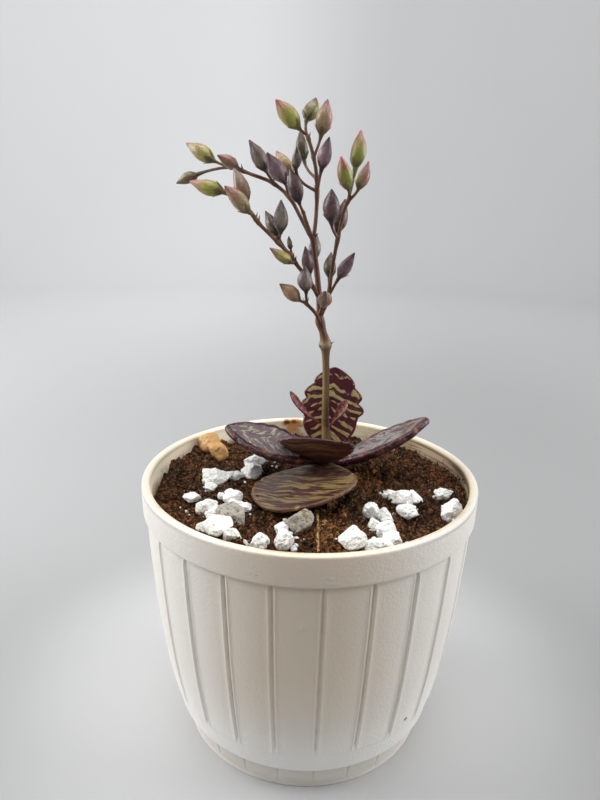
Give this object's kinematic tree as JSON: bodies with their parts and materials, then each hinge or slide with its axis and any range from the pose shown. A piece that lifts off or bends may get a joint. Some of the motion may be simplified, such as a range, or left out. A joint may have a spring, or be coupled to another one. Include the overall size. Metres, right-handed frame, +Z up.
{
  "type": "potted kalanchoe",
  "caption": "Young succulent in bud with thick striped scalloped leaves and a branched flower stalk, in a round ribbed plastic pot of coir soil topped with white grit.",
  "frame": {"origin": "centre of the pot's flat underside", "axes": "+Z up along the pot's axis, -Y towards the viewer, +X to the viewer's right"},
  "size_m": [0.105, 0.105, 0.1983],
  "materials": {
    "pot": "cream white moulded plastic with a fine orange-peel texture, dusty and water-stained",
    "soil": "dark crumbly coir soil",
    "grit": "chalky white crushed perlite, slightly soiled",
    "ochre_stone": "smooth ochre stone with a waxy grain",
    "leaf": "fleshy waxy leaf, maroon with olive cross stripes",
    "bract": "thin maroon bract with a pinkish edge",
    "stem": "fleshy olive-brown stem with a red-brown side",
    "bud": "closed fleshy buds from green to mauve with speckles and pink tips, on red-brown stalks"
  },
  "bodies": {
    "root": {"pot": "pot", "soil": "soil", "stem": "stem", "leaf_left": "leaf", "leaf_right": "leaf", "leaf_back": "leaf", "leaf_front_inner": "leaf", "leaf_front_lower": "leaf", "bract_left": "bract", "bract_right": "bract", "spray_low_left": "bud", "spray_lower_left": "bud", "spray_upper_left": "bud", "spray_top": "bud", "spray_right": "bud", "bud_front": "bud", "bud_rear": "bud", "grit_back_left": "grit", "grit_left": "grit", "grit_front": "grit", "grit_right_rim": "grit", "grit_splinters": "grit", "grit_right": "grit", "grit_lone_left": "grit", "grit_lone_front": "grit", "grit_lone_right": "grit", "grit_lone_rim": "grit", "ochre_stone": "ochre_stone"}
  },
  "joints": []
}
